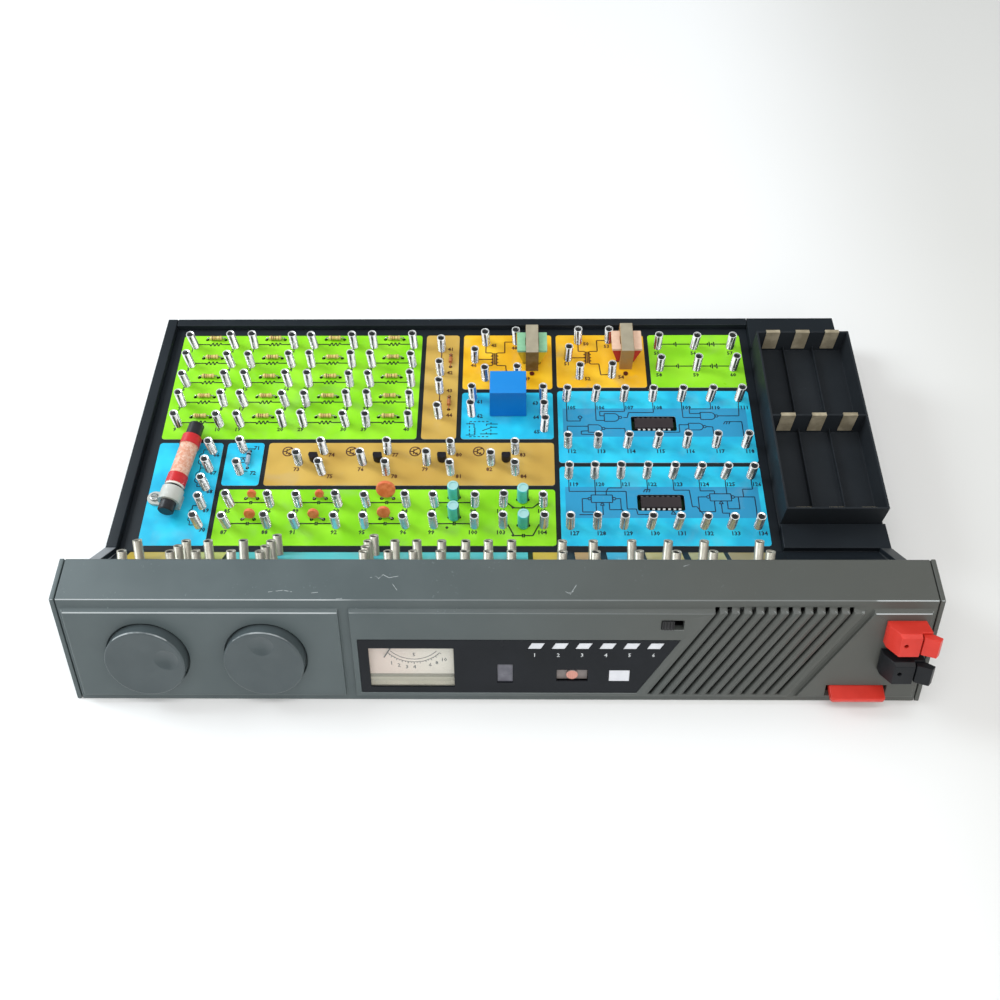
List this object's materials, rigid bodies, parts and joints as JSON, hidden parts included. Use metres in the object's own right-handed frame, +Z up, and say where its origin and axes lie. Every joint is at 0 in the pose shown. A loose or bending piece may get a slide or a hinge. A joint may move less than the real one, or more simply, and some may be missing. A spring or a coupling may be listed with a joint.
{
  "type": "electronic project lab",
  "caption": "Electronics trainer: a slanting console with knobs, meter, speaker and clips in front of a tray of spring terminals, circuit parts on coloured cards and an AA battery box.",
  "frame": {"origin": "centre of the bounding box on the table it stands on", "axes": "+X to the right along the console, +Y back from the console to the tray, +Z up"},
  "size_m": [0.38, 0.2126, 0.05],
  "materials": {
    "console_grey": "satin, lightly textured",
    "knob_grey": "satin",
    "tray_black": "satin",
    "card_green": "printed card",
    "card_blue": "printed card",
    "card_amber": "printed card",
    "card_tan": "printed card",
    "card_mixed": "printed cards of several colours",
    "terminal_metal": "bright plated spring steel",
    "resistor_tan": "lacquered, with colour bands",
    "diode_body": "moulded and glass bodies",
    "disc_orange": "dipped ceramic",
    "can_cyan": "sleeved can",
    "transistor_black": "moulded",
    "relay_blue": "moulded",
    "core_steel": "stacked laminations",
    "bobbin_wrap": "moulded bobbin with tape",
    "chip_black": "moulded, with tinned legs",
    "ferrite": "sintered ferrite",
    "coil_wire": "wound wire under varnish, with red tape",
    "clip_grey": "moulded",
    "shaft_metal": "turned",
    "component_brown": "moulded component body",
    "meter_white": "moulded, cream",
    "scale_print": "printed scale",
    "needle_black": "painted wire",
    "clear_cover": "clear moulded cover",
    "window_black": "glossy",
    "board_green": "bare circuit board",
    "lens_white": "translucent white lenses",
    "display_grey": "smoked display",
    "sensor_brown": "light sensor",
    "speaker_steel": "pressed and plated",
    "cone_paper": "pressed paper",
    "magnet": "sintered",
    "switch_black": "moulded",
    "clip_red": "moulded",
    "clip_black": "moulded",
    "contact_metal": "bare spring strip",
    "battery_black": "moulded",
    "screw_steel": "plated"
  },
  "bodies": {
    "case": {"console_shell": "console_grey", "end_cap_left": "console_grey", "end_cap_right": "console_grey", "tray_rail_left": "tray_black", "tray_rail_back": "tray_black", "battery_side_frame": "tray_black", "deck_panel": "tray_black", "green_cards": "card_green", "blue_cards": "card_blue", "amber_cards": "card_amber", "tan_cards": "card_tan", "console_cards": "card_mixed", "wiring_board": "board_green", "bottom_cover": "tray_black", "resistor_terminals": "terminal_metal", "component_terminals": "terminal_metal", "power_terminals": "terminal_metal", "logic_terminals": "terminal_metal", "console_terminals": "terminal_metal", "resistors": "resistor_tan", "diodes": "diode_body", "disc_capacitors": "disc_orange", "electrolytic_capacitors": "can_cyan", "transistors": "transistor_black", "relay": "relay_blue", "transformer_cores": "core_steel", "transformer_bobbins": "bobbin_wrap", "logic_chips": "chip_black", "ferrite_rod": "ferrite", "antenna_coil": "coil_wire", "antenna_clip": "clip_grey", "tuning_capacitor": "component_brown", "control_potentiometer": "component_brown", "meter_housing": "meter_white", "meter_scale": "scale_print", "meter_cover": "clear_cover", "window_panel": "window_black", "display_board": "board_green", "lamp_lenses": "lens_white", "digit_display": "display_grey", "light_sensor": "sensor_brown", "speaker_frame": "speaker_steel", "speaker_cone": "cone_paper", "speaker_magnet": "magnet", "switch_body": "switch_black", "red_clip": "clip_red", "black_clip": "clip_black", "key_contact": "contact_metal", "battery_box": "battery_black", "battery_contacts": "contact_metal", "screws": "screw_steel"},
    "tuning_control": {"tuning_knob": "knob_grey", "tuning_shaft": "shaft_metal"},
    "level_control": {"control_knob": "knob_grey", "control_shaft": "shaft_metal"},
    "select_switch": {"select_slider": "switch_black"},
    "red_clip_lever": {"red_lever": "clip_red"},
    "black_clip_lever": {"black_lever": "clip_black"},
    "key": {"code_key": "clip_red"},
    "needle": {"meter_needle": "needle_black"}
  },
  "joints": [
    {"name": "tuning_turn", "type": "hinge", "parent": "case", "child": "tuning_control", "pos_m": [-0.1523, -0.09103, 0.02344], "axis": [0, -0.8944, 0.4472], "range_deg": [-90, 90]},
    {"name": "control_turn", "type": "hinge", "parent": "case", "child": "level_control", "pos_m": [-0.1004, -0.09103, 0.02344], "axis": [0, -0.8944, 0.4472], "range_deg": [-150, 150]},
    {"name": "select_slide", "type": "slide", "parent": "case", "child": "select_switch", "axis": [1, 0, 0], "range_m": [0, 0.004]},
    {"name": "red_lever_press", "type": "hinge", "parent": "case", "child": "red_clip_lever", "pos_m": [0.181, -0.09144, 0.04052], "axis": [0, 0.4472, 0.8944], "range_deg": [0, 20], "stiffness_Nm_per_rad": 0.03, "springref_deg": -11.46},
    {"name": "black_lever_press", "type": "hinge", "parent": "case", "child": "black_clip_lever", "pos_m": [0.181, -0.09819, 0.02701], "axis": [0, 0.4472, 0.8944], "range_deg": [0, 20], "stiffness_Nm_per_rad": 0.03, "springref_deg": -11.46},
    {"name": "key_press", "type": "hinge", "parent": "case", "child": "key", "pos_m": [0.1598, -0.08, 0.0085], "axis": [1, 0, 0], "range_deg": [0, 6], "stiffness_Nm_per_rad": 0.15, "springref_deg": -5.73},
    {"name": "needle_swing", "type": "hinge", "parent": "case", "child": "needle", "pos_m": [-0.0368, -0.08092, 0.03761], "axis": [0, -0.8944, 0.4472], "range_deg": [0, 62], "stiffness_Nm_per_rad": 0.001, "springref_deg": -1.15}
  ]
}
